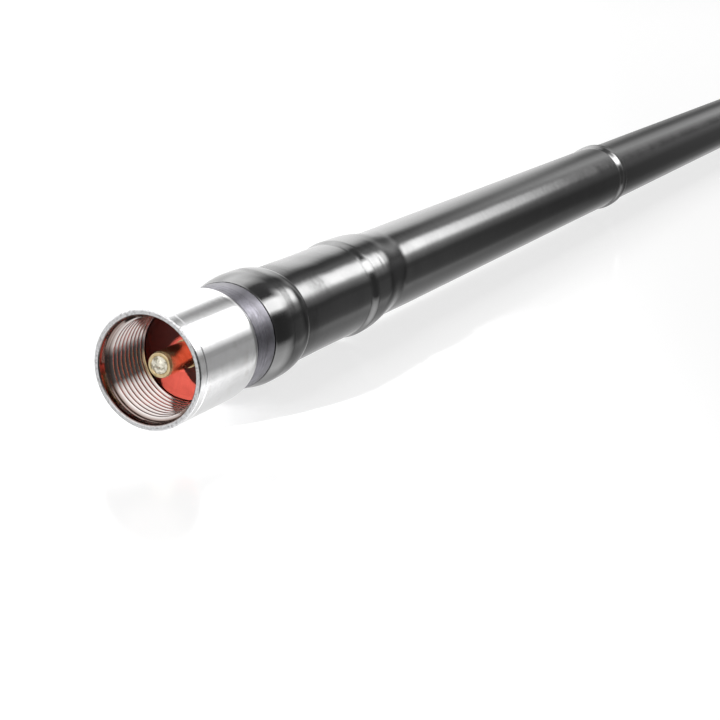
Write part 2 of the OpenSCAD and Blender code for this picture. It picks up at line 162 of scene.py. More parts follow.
def cloud(tree, place, size, detail, roughness=0.5):
    """Soft noise in space."""
    return add_node(
        tree, "ShaderNodeTexNoise", Vector=place, Scale=size, Detail=detail, Roughness=roughness
    ).outputs["Fac"]


def lines(tree, value, scale, detail, roughness):
    """Noise along a single value, which shows as lines."""
    return add_node(
        tree, "ShaderNodeTexNoise", {"noise_dimensions": "1D"},
        W=value, Scale=scale, Detail=detail, Roughness=roughness,
    ).outputs["Fac"]


def mix_values(tree, share, first, second):
    """First value with a share of the second."""
    return add_node(
        tree, "ShaderNodeMix", {"data_type": "FLOAT"}, i0=share, i2=first, i3=second
    ).outputs[0]


def mix_colours(tree, share, first, second, how="MIX"):
    """First colour with a share of the second mixed in, or multiplied over it."""
    return add_node(
        tree, "ShaderNodeMix", {"data_type": "RGBA", "blend_type": how}, i0=share, i6=first, i7=second
    ).outputs[2]


def place_on_piece(tree):
    """Place on a piece, in metres."""
    return add_node(tree, "ShaderNodeTexCoord").outputs["Object"]


def along_and_out(tree, place):
    """Station of a place along X and its distance from the X axis, in metres."""
    split = add_node(tree, "ShaderNodeSeparateXYZ", Vector=place)
    flat = add_node(tree, "ShaderNodeCombineXYZ", Y=split.outputs["Y"], Z=split.outputs["Z"])
    out = add_node(tree, "ShaderNodeVectorMath", {"operation": "LENGTH"}, i0=flat.outputs[0])
    return split.outputs["X"], out.outputs["Value"]


# Lathe tool marks: rings that follow the turned outline, on barrels and end faces alike
tool_marks, given, made = start_effect(
    "tool_marks", {"Rings": 9000.0, "Breaks": 0.3}, {"Height": "NodeSocketFloat"}
)
place = place_on_piece(tool_marks)
run = calculate(tool_marks, "ADD", *along_and_out(tool_marks, place))
rings = lines(tool_marks, calculate(tool_marks, "MULTIPLY", run, given["Rings"]), 1.0, 3.0, 0.6)
height = mix_values(tool_marks, given["Breaks"], rings, cloud(tool_marks, place, 420.0, 2.0))
tool_marks.links.new(height, made["Height"])

# Blotches of a second colour, as on a plated or handled surface
blotches, given, made = start_effect(
    "blotches",
    {
        "Clean": (0.8, 0.8, 0.8), "Stained": (0.5, 0.5, 0.5),
        "Size": 300.0, "Low": 0.45, "High": 0.7, "Amount": 0.5,
    },
    {"Colour": "NodeSocketColor", "Mask": "NodeSocketFloat"},
)
mottle = cloud(blotches, place_on_piece(blotches), given["Size"], 5.0, 0.6)
mask = spread(blotches, mottle, given["Low"], given["High"])
share = calculate(blotches, "MULTIPLY", mask, given["Amount"])
blotches.links.new(mix_colours(blotches, share, given["Clean"], given["Stained"]), made["Colour"])
blotches.links.new(share, made["Mask"])

# Smudges: a roughness that wanders between a wiped and a fingered value
smudges, given, made = start_effect(
    "smudges", {"Wiped": 0.1, "Fingered": 0.2, "Size": 140.0}, {"Roughness": "NodeSocketFloat"}
)
mottle = cloud(smudges, place_on_piece(smudges), given["Size"], 6.0, 0.65)
level = mix_values(smudges, spread(smudges, mottle, 0.35, 0.7), given["Wiped"], given["Fingered"])
smudges.links.new(level, made["Roughness"])


def add_effect(tree, group, **inputs):
    """Places a node group in a material with its own values, and returns its outputs."""
    return add_node(tree, "ShaderNodeGroup", {"node_tree": group}, **inputs).outputs


def add_stain(tree, shader, **values):
    """Colours a shader with blotches, and returns where they lie."""
    stain = add_effect(tree, blotches, **values)
    tree.links.new(stain["Colour"], shader.inputs["Base Color"])
    return stain["Mask"]


def add_smudges(tree, shader, **values):
    """Makes a shader duller in smudges."""
    tree.links.new(add_effect(tree, smudges, **values)["Roughness"], shader.inputs["Roughness"])


def emboss(tree, shader, height, depth):
    """Raises the surface by a height between 0 and 1, times a depth in millimetres."""
    relief = add_node(tree, "ShaderNodeBump", Height=height, Distance=depth * MM)
    tree.links.new(relief.outputs["Normal"], shader.inputs["Normal"])


PIN_R = 2.0
PIN_BORE_R = 1.35
PIN_TIP = 3.4
PIN_BACK = 25.0
SHANK_R = 2.2
SHOULDER_R = 3.2
DISC_FRONT = 11.0
DISC_BACK = 14.8
SHOULDER_BACK = 15.8
pin_corners = [
    (PIN_TIP + 0.14, PIN_BORE_R, 0),
    (PIN_TIP, PIN_BORE_R + 0.1, 0.06),
    (PIN_TIP, PIN_R - 0.12, 0.1),
    (PIN_TIP + 0.5, PIN_R, 0.2),
    (DISC_FRONT, PIN_R, 0),
    (DISC_FRONT, SHANK_R, 0),
    (DISC_BACK, SHANK_R, 0),
    (DISC_BACK, SHOULDER_R, 0.1),
    (SHOULDER_BACK, SHOULDER_R, 0.1),
    (SHOULDER_BACK, PIN_R, 0),
    (PIN_BACK, PIN_R, 0.1),
    (PIN_BACK, PIN_BORE_R, 0),
]
pin = add_piece("dressed_centre_pin", *spun(rounded(pin_corners), 96))
gilt, tree, shader = start_finish("pin_gilt", (0.83, 0.66, 0.38), 1.0, 0.2)
add_stain(tree, shader, Clean=(0.86, 0.69, 0.41), Stained=(0.42, 0.29, 0.12), Size=900.0, Amount=0.6)
add_smudges(tree, shader, Wiped=0.14, Fingered=0.3, Size=600.0)
emboss(tree, shader, add_effect(tree, tool_marks, Rings=14000.0, Breaks=0.2)["Height"], 0.008)
pin.data.materials.append(gilt)
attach(pin, "antenna")
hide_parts("centre_pin")


# SOLDER IN THE PIN
# Tin solder run into the end of the hollow pin round the feed wire. It has frozen in a low lumpy
# crown with dull flux-stained hollows between bright tops.

SOLDER_R = 1.34
SOLDER_BACK = 6.9
CROWN = 0.2
CROWN_EDGE = PIN_TIP + 0.05
CROWN_STEPS = 18
crown_rows = []
for i in range(CROWN_STEPS + 1):
    slope = math.cos(math.pi / 2 * i / CROWN_STEPS)
    crown_rows.append((CROWN_EDGE - CROWN * slope, SOLDER_R * i / CROWN_STEPS))
points, faces = spun(crown_rows + [(SOLDER_BACK, SOLDER_R), (SOLDER_BACK, 0.0)], 64, closed=False)
uneven = []
for x, y, z in points:
    if x < CROWN_EDGE - 0.01:
        lump = noise.fractal(Vector((y * 1.5 + 3.1, z * 1.5 + 1.7, 0.4)), 1.0, 2.0, 3)
        x += 0.09 * lump * min(1.0, (SOLDER_R - math.hypot(y, z)) * 3 + 0.15)
    uneven.append((x, y, z))
solder = add_piece("dressed_pin_solder", uneven, faces)
tin, tree, shader = start_finish("solder", (0.9, 0.87, 0.78), 1.0, 0.25)
hollows = add_stain(
    tree, shader,
    Clean=(0.95, 0.9, 0.76), Stained=(0.2, 0.17, 0.08), Size=1500.0, Low=0.5, High=0.64, Amount=0.85,
)
add_smudges(tree, shader, Wiped=0.2, Fingered=0.42, Size=1400.0)
emboss(tree, shader, hollows, 0.05)
solder.data.materials.append(tin)
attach(solder, "antenna")
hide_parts("pin_solder")


# RED INSULATOR DISC
# A phenolic moulding, red all through, that closes the front of the plug body and holds the pin in
# the middle. Its satin face has faint streaks that run out from the pin, where the resin flowed.


def add_ramp(tree, factor, shades):
    """Colour that runs through [position, colour] stops as a factor goes from 0 to 1."""
    ramp = add_node(tree, "ShaderNodeValToRGB", Fac=factor)
    stops = ramp.color_ramp.elements
    while len(stops) > 1:
        stops.remove(stops[-1])
    for i, (position, colour) in enumerate(shades):
        stop = stops[0] if i == 0 else stops.new(position)
        stop.position = position
        stop.color = (*colour, 1)
    return ramp.outputs["Color"]


def bearing_round_x(tree, vector):
    """Bearing of a vector round the X axis, in radians from the Y axis."""
    split = add_node(tree, "ShaderNodeSeparateXYZ", Vector=vector)
    return calculate(tree, "ARCTAN2", split.outputs["Z"], split.outputs["Y"])


DISC_R = 7.225
STEP_BACK = 13.2
SPIGOT_R = 4.6
FIELD_FRONT = DISC_FRONT - 0.07
disc_corners = [
    (DISC_FRONT, SHANK_R, 0),
    (DISC_FRONT, 2.75, 0.05),
    (FIELD_FRONT, 2.95, 0.08),
    (FIELD_FRONT, 6.2, 0.2),
    (DISC_FRONT, 6.6, 0.1),
    (DISC_FRONT, DISC_R, 0.14),
    (STEP_BACK, DISC_R, 0),
    (STEP_BACK, SPIGOT_R, 0),
    (DISC_BACK, SPIGOT_R, 0.1),
    (DISC_BACK, SHANK_R, 0),
]
insulator = add_piece("dressed_insulator_disc", *spun(rounded(disc_corners), 128))
phenolic, tree, shader = start_finish("insulator_red", (0.25, 0.03, 0.02), 0.0, 0.38)
spokes = lines(tree, bearing_round_x(tree, place_on_piece(tree)), 9.0, 4.0, 0.7)
stain = add_effect(
    tree, blotches, Clean=(0.26, 0.042, 0.03), Stained=(0.18, 0.023, 0.016), Size=800.0, Amount=0.5
)
streaks = add_ramp(tree, spokes, [(0.3, (0.62, 0.55, 0.55)), (0.62, (1, 1, 1))])
tree.links.new(mix_colours(tree, 0.3, stain["Colour"], streaks, "MULTIPLY"), shader.inputs["Base Color"])
add_smudges(tree, shader, Wiped=0.36, Fingered=0.5, Size=500.0)
emboss(tree, shader, spokes, 0.012)
insulator.data.materials.append(phenolic)
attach(insulator, "antenna")
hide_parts("insulator_disc")


# REAR INSULATOR
# A white bush turned from rod that is pushed in behind the pin's shoulder. It is hidden once the
# body is closed.


def dress(material, *names):
    """Gives CAD nodes that keep their shape a finish of their own."""
    for name in names:
        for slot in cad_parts[name].material_slots:
            slot.material = material


bush_white, tree, shader = start_finish("insulator_white", (0.86, 0.85, 0.8), 0.0, 0.45)
add_stain(tree, shader, Clean=(0.88, 0.87, 0.82), Stained=(0.74, 0.71, 0.63), Size=260.0, Amount=0.6)
emboss(tree, shader, add_effect(tree, tool_marks, Rings=7000.0)["Height"], 0.015)
dress(bush_white, "rear_insulator")


# PLUG BODY
# The turned brass core of the plug, plated with nickel. Its flange is what the coupling shell pulls
# against, and its hollow tail goes on into the coil housing.

nickel, tree, shader = start_finish("body_nickel", (0.72, 0.7, 0.66), 1.0, 0.25)
add_stain(tree, shader, Clean=(0.74, 0.72, 0.68), Stained=(0.55, 0.5, 0.42), Size=220.0, Amount=0.6)
add_smudges(tree, shader, Wiped=0.18, Fingered=0.34, Size=300.0)
emboss(tree, shader, add_effect(tree, tool_marks, Rings=9000.0, Breaks=0.15)["Height"], 0.012)
dress(nickel, "plug_body")


# COUPLING SHELL
# The nut that screws the plug to its socket: brass, turned, cut with a 24 threads per inch screw
# inside, and chromed. A lip behind keeps it on the body, so it spins freely there.

# The barrel has a thin line turned in it close behind the mouth, and its rear edge is rounded off
SHELL_R = 9.0
SHELL_BACK = 17.5
MOUTH_R = 8.1
CAVITY_R = 7.8
LIP_FRONT = 15.3
LIP_BORE_R = 6.21
RIM_BEVEL = 0.2
LINE_R = 8.88
LINE_FRONT = 1.75
LINE_BACK = 1.97
ROUND_START = 15.0
BACK_R = 8.4
THREAD_START = 1.5
THREAD_END = 11.4
THREAD_FADE = 10.9
THREAD_TURNS = 13
PITCH = 1.058
CREST_R = 7.375
ROOT_R = 7.94
AROUND = 240
# Height of the groove over one pitch, as [share of the pitch, share of the depth]
GROOVE = [
    (0.03, 0.0), (0.22, 0.0), (0.29, 0.128), (0.53, 0.896),
    (0.585, 1.0), (0.665, 1.0), (0.72, 0.896), (0.96, 0.128),
]

shell_corners = [
    (THREAD_END, CREST_R, 0),
    (THREAD_END + CAVITY_R - CREST_R, CAVITY_R, 0),
    (LIP_FRONT, CAVITY_R, 0),
    (LIP_FRONT, LIP_BORE_R, 0.1),
    (SHELL_BACK, LIP_BORE_R, 0.1),
]
for i in range(13):
    t = math.cos(math.pi / 2 * i / 12)
    rise = (SHELL_R - BACK_R) * math.sqrt(1 - t ** 2.6)
    shell_corners.append((ROUND_START + (SHELL_BACK - ROUND_START) * t, BACK_R + rise, 0))
shell_corners += [
    (LINE_BACK, SHELL_R, 0.05),
    (LINE_BACK, LINE_R, 0.03),
    (LINE_FRONT, LINE_R, 0.03),
    (LINE_FRONT, SHELL_R, 0.05),
    (RIM_BEVEL, SHELL_R, 0.05),
    (0.0, SHELL_R - RIM_BEVEL, 0.05),
    (0.0, MOUTH_R + RIM_BEVEL, 0.04),
    (RIM_BEVEL, MOUTH_R, 0.05),
    (THREAD_START, MOUTH_R, 0),
]
shell_points, shell_faces = spun(rounded(shell_corners), AROUND, closed=False)
rows = len(GROOVE) * THREAD_TURNS
first = len(shell_points)
stations = []
for row in range(rows):
    turn, part = divmod(row, len(GROOVE))
    phase, share = GROOVE[part]
    for j in range(AROUND):
        x = THREAD_START + (turn - 1 + phase + j / AROUND) * PITCH
        x = min(max(x, THREAD_START), THREAD_END)
        fade = 1 - ease((x - THREAD_FADE) / (THREAD_END - THREAD_FADE))
        r = max(CREST_R + (ROOT_R - CREST_R) * share * fade, MOUTH_R - (x - THREAD_START))
        angle = math.tau * j / AROUND
        shell_points.append((x, r * math.cos(angle), r * math.sin(angle)))
        stations.append(x)


def thread_point(row, j):
    """Index of a thread point; past the last column the helix goes on one pitch further."""
    if j == AROUND:
        row, j = row + len(GROOVE), 0
    return row * AROUND + j


for row in range(rows - len(GROOVE) - 1):
    for j in range(AROUND):
        corner = [
            thread_point(row, j), thread_point(row, j + 1),
            thread_point(row + 1, j + 1), thread_point(row + 1, j),
        ]
        spots = [stations[c] for c in corner]
        if max(spots) > THREAD_START and min(spots) < THREAD_END:
            shell_faces.append(tuple(first + c for c in corner))
shell = add_piece("dressed_coupling_shell", shell_points, shell_faces, crease=50)

chrome, tree, shader = start_finish("shell_chrome", (0.93, 0.93, 0.935), 1.0, 0.07)
place = place_on_piece(tree)
along, out = along_and_out(tree, place)
stain = add_effect(
    tree, blotches, Clean=(0.94, 0.94, 0.945), Stained=(0.7, 0.67, 0.64), Size=420.0, Low=0.55, Amount=0.3
)
# Painted shade and reflection: the chrome is darkened to brown in the roots of the thread and tinted faintly
# pink on the crests, and the rim is grey with fine nicks
PAINTED_ROOT_SHADE = (0.36, 0.28, 0.25)
painted_root_shade = add_ramp(
    tree, spread(tree, out, 7.0 * MM, SHELL_R * MM),
    [(0.19, (0.97, 0.91, 0.88)), (0.43, PAINTED_ROOT_SHADE), (0.57, PAINTED_ROOT_SHADE), (0.66, (1, 1, 1))],
)
stained_and_shaded = mix_colours(tree, 1.0, stain["Colour"], painted_root_shade, "MULTIPLY")
rim = spread(tree, along, 0.45 * MM, 0.25 * MM)
nicks = cloud(tree, place, 2600.0, 3.0, 0.7)
nicked = add_ramp(tree, nicks, [(0.3, (0.52, 0.51, 0.51)), (0.52, (0.9, 0.9, 0.91))])
tree.links.new(mix_colours(tree, rim, stained_and_shaded, nicked, "MULTIPLY"), shader.inputs["Base Color"])
wear = calculate(tree, "MULTIPLY", rim, nicks)
dull = add_effect(tree, smudges, Wiped=0.05, Fingered=0.11, Size=260.0)
worn = calculate(tree, "MULTIPLY_ADD", wear, 0.3, dull["Roughness"])
tree.links.new(worn, shader.inputs["Roughness"])
marks = add_effect(tree, tool_marks, Rings=16000.0, Breaks=0.25)
emboss(tree, shader, calculate(tree, "MULTIPLY_ADD", wear, 1.5, marks["Height"]), 0.004)
shell.data.materials.append(chrome)
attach(shell, "coupling")
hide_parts("coupling_shell")


# NECK COLLAR
# A dark plated ring pressed on the body behind the shell, which it stops from sliding back. Three
# fine rings are turned in it close to its front edge.

COLLAR_R = 8.5
COLLAR_BORE_R = 6.15
COLLAR_FRONT = 17.6
COLLAR_BACK = 23.0
RING_GAP = 0.9
RING_DEPTH = 0.05
collar_corners = [
    (COLLAR_FRONT, COLLAR_BORE_R, 0),
    (COLLAR_FRONT, COLLAR_R - 0.2, 0.07),
    (COLLAR_FRONT + 0.2, COLLAR_R, 0.07),
]
for ring in (1, 2, 3):
    x = COLLAR_FRONT + ring * RING_GAP
    collar_corners += [
        (x, COLLAR_R, 0.06), (x + 0.12, COLLAR_R - RING_DEPTH, 0.04),
        (x + 0.2, COLLAR_R - RING_DEPTH, 0.04), (x + 0.32, COLLAR_R, 0.06),
    ]
collar_corners += [(COLLAR_BACK, COLLAR_R, 0.06), (COLLAR_BACK, COLLAR_BORE_R, 0)]
collar = add_piece("dressed_neck_collar", *spun(rounded(collar_corners, 3), 160))
dark_plate, tree, shader = start_finish("collar_dark", (0.11, 0.107, 0.12), 1.0, 0.42)
add_stain(
    tree, shader, Clean=(0.115, 0.112, 0.128), Stained=(0.05, 0.048, 0.053), Size=360.0, Amount=0.75
)
add_smudges(tree, shader, Wiped=0.36, Fingered=0.48, Size=420.0)
emboss(tree, shader, add_effect(tree, tool_marks, Rings=11000.0, Breaks=0.3)["Height"], 0.015)
collar.data.materials.append(dark_plate)
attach(collar, "antenna")
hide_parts("neck_collar")


# SEAL RING
# A round rubber ring squeezed between the collar and the base ferrule, under the edge of the sleeve.

rubber, tree, shader = start_finish("seal_rubber", (0.03, 0.03, 0.03), 0.0, 0.7)
dust = add_stain(
    tree, shader, Clean=(0.028, 0.028, 0.029), Stained=(0.07, 0.068, 0.064), Size=700.0, Amount=0.6
)
add_smudges(tree, shader, Wiped=0.6, Fingered=0.8, Size=900.0)
emboss(tree, shader, dust, 0.02)
dress(rubber, "seal_ring")


# BASE FERRULE AND ROD FERRULE
# Two turned brass sleeves. The front one ties the plug body to the coil housing, and the rear one
# takes the rod in a long socket and tapers down behind it.

brass, tree, shader = start_finish("ferrule_brass", (0.78, 0.6, 0.3), 1.0, 0.24)
add_stain(tree, shader, Clean=(0.8, 0.62, 0.32), Stained=(0.46, 0.29, 0.12), Size=180.0, Amount=0.6)
add_smudges(tree, shader, Wiped=0.18, Fingered=0.38, Size=240.0)
emboss(tree, shader, add_effect(tree, tool_marks, Rings=7000.0, Breaks=0.12)["Height"], 0.02)
dress(brass, "base_ferrule", "rod_ferrule")


# COIL HOUSING AND ROD
# Glass fibre wound and pulled in clear resin: a tube round the matching coil and a solid rod that
# is the core of the whip. Both show the pale strands lying along them.



def drawn_out(tree, place, share):
    """Place with its X part cut to a share, so that noise in it lies in streaks along the piece."""
    return add_node(tree, "ShaderNodeMapping", Vector=place, Scale=(share, 1.0, 1.0)).outputs[0]


# Strands of glass: pale streaks along the piece in yellower resin
strands, given, made = start_effect(
    "strands",
    {"Resin": (0.7, 0.64, 0.46), "Glass": (0.86, 0.83, 0.72), "Fineness": 900.0},
    {"Colour": "NodeSocketColor", "Height": "NodeSocketFloat"},
)
streak = cloud(strands, drawn_out(strands, place_on_piece(strands), 0.03), given["Fineness"], 4.0)
strands.links.new(mix_colours(strands, streak, given["Resin"], given["Glass"]), made["Colour"])
strands.links.new(streak, made["Height"])

glass_fibre, tree, shader = start_finish("glass_fibre", (0.78, 0.74, 0.6), 0.0, 0.4)
fibres = add_effect(tree, strands, Fineness=1100.0)
tree.links.new(fibres["Colour"], shader.inputs["Base Color"])
add_smudges(tree, shader, Wiped=0.32, Fingered=0.5, Size=300.0)
emboss(tree, shader, fibres["Height"], 0.03)
dress(glass_fibre, "coil_housing", "core_rod")


# COIL FORMER
# A bobbin moulded in natural nylon, with a slot in each end flange where the wire passes.

nylon, tree, shader = start_finish("former_nylon", (0.85, 0.82, 0.74), 0.0, 0.5)
yellowing = add_stain(
    tree, shader, Clean=(0.86, 0.83, 0.75), Stained=(0.76, 0.7, 0.58), Size=320.0, Amount=0.5
)
add_smudges(tree, shader, Wiped=0.42, Fingered=0.58, Size=500.0)
emboss(tree, shader, yellowing, 0.03)
dress(nylon, "coil_former")


# TERMINALS, FEED WIRES AND WINDING BAND
# Copper tags, wires and the band that ends the winding, all dipped in tin so that they solder well.

tinned, tree, shader = start_finish("tinned_copper", (0.8, 0.79, 0.76), 1.0, 0.3)
bare = add_stain(tree, shader, Clean=(0.82, 0.81, 0.78), Stained=(0.6, 0.5, 0.4), Size=900.0, Amount=0.55)
add_smudges(tree, shader, Wiped=0.22, Fingered=0.42, Size=1200.0)
emboss(tree, shader, bare, 0.02)
dress(tinned, "input_terminal", "output_terminal", "feed_lead", "output_lead", "winding_band")


# MATCHING COIL AND RADIATING WINDING
# Copper wire in a brown enamel. The short coil sits on the former, and the long one runs up the rod
# in open turns from the rod ferrule to the band.

enamel, tree, shader = start_finish("enamelled_copper", (0.6, 0.26, 0.1), 1.0, 0.25)
thick = add_stain(tree, shader, Clean=(0.64, 0.28, 0.11), Stained=(0.3, 0.1, 0.04), Size=600.0, Amount=0.6)
add_smudges(tree, shader, Wiped=0.16, Fingered=0.3, Size=900.0)
emboss(tree, shader, thick, 0.015)
dress(enamel, "matching_coil", "radiator_winding")


# SHUNT CAPACITOR
# A ceramic disc dipped in ochre lacquer, joined by its wire to the wall of the body.

dipped, tree, shader = start_finish("ceramic", (0.62, 0.4, 0.2), 0.0, 0.35)
runs = add_stain(
    tree, shader, Clean=(0.64, 0.41, 0.2), Stained=(0.45, 0.26, 0.12), Size=1100.0, Amount=0.6
)
add_smudges(tree, shader, Wiped=0.25, Fingered=0.45, Size=1300.0)
emboss(tree, shader, runs, 0.04)
dress(dipped, "shunt_capacitor")


# GRUB SCREWS
# Two zinc-plated hexagon socket screws that bite on the rod from opposite sides of the rear ferrule.

zinc, tree, shader = start_finish("steel", (0.45, 0.45, 0.46), 1.0, 0.35)
bloom = add_stain(tree, shader, Clean=(0.5, 0.5, 0.51), Stained=(0.33, 0.31, 0.3), Size=1500.0, Amount=0.7)
add_smudges(tree, shader, Wiped=0.28, Fingered=0.5, Size=1800.0)
emboss(tree, shader, bloom, 0.02)
dress(zinc, "grub_screws")


# UPPER SLEEVE
# Black heat-shrink tubing drawn down over the wound rod as far as the tip. Its skin is glossy, with
# faint long ripples where it shrank against the wire.

UPPER_R = 7.499
WOUND_R = 6.979
UPPER_START = 211.5
UPPER_END = 480.04
UPPER_STEPS = 54


def long_ripples(x, angle, r):
    """Slow unevenness of the shrunk tubing, in millimetres."""
    if r < UPPER_R - 0.1:
        return 0.0
    return 0.02 * noise.noise(Vector((x / 30, math.cos(angle) * 0.9, math.sin(angle) * 0.9)))


upper_outline = [(UPPER_START, WOUND_R), (UPPER_START, UPPER_R)]
for i in range(1, UPPER_STEPS + 1):
    upper_outline.append((UPPER_START + (UPPER_END - UPPER_START) * i / UPPER_STEPS, UPPER_R))
upper_outline.append((UPPER_END, WOUND_R))
upper_sleeve = add_piece("dressed_upper_sleeve", *spun(upper_outline, 144, sway=long_ripples))

# Draw lines: faint streaks along the tubing and a fine orange-peel between them
draw_lines, given, made = start_effect(
    "draw_lines", {"Fineness": 260.0, "Peel": 0.35}, {"Height": "NodeSocketFloat"}
)
place = place_on_piece(draw_lines)
streak = cloud(draw_lines, drawn_out(draw_lines, place, 0.06), given["Fineness"], 3.0)
peel = cloud(draw_lines, place, 700.0, 2.0)
draw_lines.links.new(mix_values(draw_lines, given["Peel"], streak, peel), made["Height"])

gloss_black, tree, shader = start_finish("sleeve_black", (0.012, 0.012, 0.013), 0.0, 0.14)
add_stain(
    tree, shader, Clean=(0.011, 0.011, 0.012), Stained=(0.024, 0.023, 0.024), Size=90.0, Amount=0.7
)
add_smudges(tree, shader, Wiped=0.075, Fingered=0.14, Size=120.0)
emboss(tree, shader, add_effect(tree, draw_lines)["Height"], 0.02)
upper_sleeve.data.materials.append(gloss_black)
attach(upper_sleeve, "antenna")
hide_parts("upper_sleeve")


# BASE SLEEVE
# A thicker black heat-shrink sleeve over the ferrules, the coil housing and the foot of the whip.
# It has shrunk tight, so the steps beneath show through it as soft bulges and hollows.

SLEEVE_FRONT = 23.1
SLEEVE_BACK = 214.8
SLEEVE_ROUNDING = 0.4
# Outer radius at the front lip, over the base ferrule, the coil housing, the head of the rod ferrule,
# the whip and the foot of the upper sleeve
LIP_R = 8.56
FERRULE_SKIN = 9.28
HOUSING_SKIN = 8.3
HEAD_SKIN = 8.78
WHIP_SKIN = 7.749
RIDGE_SKIN = 8.192
# Where each change of radius starts and how long it is, and how the crease ends behind the first bulge
CLIMB_START = 23.4
CLIMB = 4.9
DOME_START = 29.7
DOME = 5.0
CREASE_END = 35.3
CREASE = 0.7
CREASE_SKIN = 0.2
HEAD_START = 58.49
HEAD_CLIMB = 2.9
TAPER_START = 61.3
TAPER = 8.2
RIDGE_START = 209.5
RIDGE_CLIMB = 2.8
# How much the second bulge differs on the side that it leans to
LEAN_SIDE = math.radians(115)
LEAN_DROP = 0.13
LEAN_BACK = 5.7
LEAN_TAPER = 2.3
# A low crest on the back of the second bulge: its station and width, its bearing and sweep in
# degrees, and its height
RIPPLE_X = 65.6
RIPPLE_WIDTH = 1.1
RIPPLE_SIDE = 147
RIPPLE_SWEEP = 16
RIPPLE = 0.05
# Inner radius over the head of the rod ferrule, the coil housing, the base ferrule and the front
HEAD_HOLLOW = 7.9
HOUSING_HOLLOW = 7.53
FERRULE_HOLLOW = 8.5
FRONT_HOLLOW = 7.99
# Stretches of the skin as [start, step, count], with a finer step where it bends more
STRETCHES = [(23.4, 0.25, 43), (34.0, 0.1, 15), (35.5, 0.3, 154), (81.9, 2.5, 51), (208.6, 0.25, 24)]


def sleeve_radius(x, angle):
    """Outer radius of the base sleeve; its second bulge is flatter and longer on its upper side."""
    lean = (1 + math.cos(angle - LEAN_SIDE)) / 2
    if x < DOME_START:
        climb = min(max((x - CLIMB_START) / CLIMB, 0.0), 1.0)
        r = LIP_R + (FERRULE_SKIN - LIP_R) * math.sin(math.pi / 2 * climb)
    else:
        dome = max(1 - ((x - DOME_START) / DOME) ** 2.4, 0.0)
        crease = min(max((CREASE_END - x) / CREASE, 0.0), 1.0)
        bulge = (FERRULE_SKIN - HOUSING_SKIN) * math.sqrt(dome)
        r = HOUSING_SKIN + max(bulge, CREASE_SKIN * crease * crease)
    head = HEAD_SKIN - LEAN_DROP * lean
    r += (head - HOUSING_SKIN) * ease((x - HEAD_START) / HEAD_CLIMB)
    r += (WHIP_SKIN - head) * ease((x - TAPER_START - LEAN_BACK * lean) / (TAPER + LEAN_TAPER * lean))
    r += (RIDGE_SKIN - WHIP_SKIN) * ease((x - RIDGE_START) / RIDGE_CLIMB)
    return r


skin = [(SLEEVE_FRONT, LIP_R - 0.1), (SLEEVE_FRONT + 0.1, sleeve_radius(SLEEVE_FRONT + 0.1, 0.0))]
for start, step, count in STRETCHES:
    skin += [(start + step * i, sleeve_radius(start + step * i, 0.0)) for i in range(count)]
for i in range(1, 6):
    turn = math.pi / 2 * i / 5
    x = SLEEVE_BACK - SLEEVE_ROUNDING + SLEEVE_ROUNDING * math.sin(turn)
    skin.append((x, RIDGE_SKIN - SLEEVE_ROUNDING + SLEEVE_ROUNDING * math.cos(turn)))
hollow = [
    (SLEEVE_BACK, UPPER_R), (UPPER_START, UPPER_R), (210.98, WOUND_R), (70.04, WOUND_R),
    (62.54, HEAD_HOLLOW), (59.48, HEAD_HOLLOW), (58.74, HOUSING_HOLLOW), (34.64, HOUSING_HOLLOW),
    (33.24, 8.1), (32.84, FERRULE_HOLLOW),
]
for i in range(7):
    hollow.append((29.04 - 0.7 * i, FERRULE_HOLLOW - (FERRULE_HOLLOW - FRONT_HOLLOW) * ease(i / 6)))
hollow.append((SLEEVE_FRONT, FRONT_HOLLOW))


def shrink_marks(x, angle, r):
    """Lean and unevenness of the base sleeve's skin, in millimetres."""
    if (x, r) not in skin or x > SLEEVE_BACK - 0.5:
        return 0.0
    about = Vector((x / 7, math.cos(angle) * 1.3, math.sin(angle) * 1.3))
    along = Vector((x / 40, math.cos(angle) * 2.2, math.sin(angle) * 2.2))
    base = 1 - ease((x - 80) / 20)
    quiet = ease((x - SLEEVE_FRONT) / 3)
    aside = (math.degrees(angle) - RIPPLE_SIDE) / RIPPLE_SWEEP
    ripple = RIPPLE * math.exp(-(((x - RIPPLE_X) / RIPPLE_WIDTH) ** 2) - aside * aside)
    uneven = quiet * (0.05 * base * noise.noise(about) + 0.02 * noise.noise(along)) + ripple
    return sleeve_radius(x, angle) - sleeve_radius(x, 0.0) + uneven


base_sleeve = add_piece("dressed_base_sleeve", *spun(skin + hollow, 160, sway=shrink_marks))
base_sleeve.data.materials.append(gloss_black)
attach(base_sleeve, "antenna")
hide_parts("base_sleeve")


# TIP CAP
# A round-nosed cap moulded in black plastic, glued over the end of the rod and of the upper sleeve
# to keep the rain out.

CAP_R = 8.099
CAP_FRONT = 470.04
CAP_BEVEL = 0.3
NOSE_START = 482.04
NOSE = 8.0
NOSE_STEPS = 24
ROD_R = 6.0
cap_outline = rounded([
    (CAP_FRONT, UPPER_R, 0),
    (CAP_FRONT, CAP_R - CAP_BEVEL, 0.1),
    (CAP_FRONT + CAP_BEVEL, CAP_R, 0.1),
    (NOSE_START, CAP_R, 0),
])
for i in range(1, NOSE_STEPS):
    angle = math.pi / 2 * i / NOSE_STEPS
    cap_outline.append((NOSE_START + NOSE * math.sin(angle), CAP_R * math.cos(angle)))
cap_outline += [(NOSE_START + NOSE, 0.0), (NOSE_START, 0.0)]
cap_outline += [(NOSE_START, ROD_R), (UPPER_END, ROD_R), (UPPER_END, UPPER_R)]
cap = add_piece("dressed_tip_cap", *spun(cap_outline, 128))
satin_black, tree, shader = start_finish("cap_black", (0.015, 0.015, 0.016), 0.0, 0.4)
add_stain(
    tree, shader, Clean=(0.014, 0.014, 0.015), Stained=(0.035, 0.034, 0.034), Size=260.0, Amount=0.6
)
add_smudges(tree, shader, Wiped=0.34, Fingered=0.5, Size=380.0)
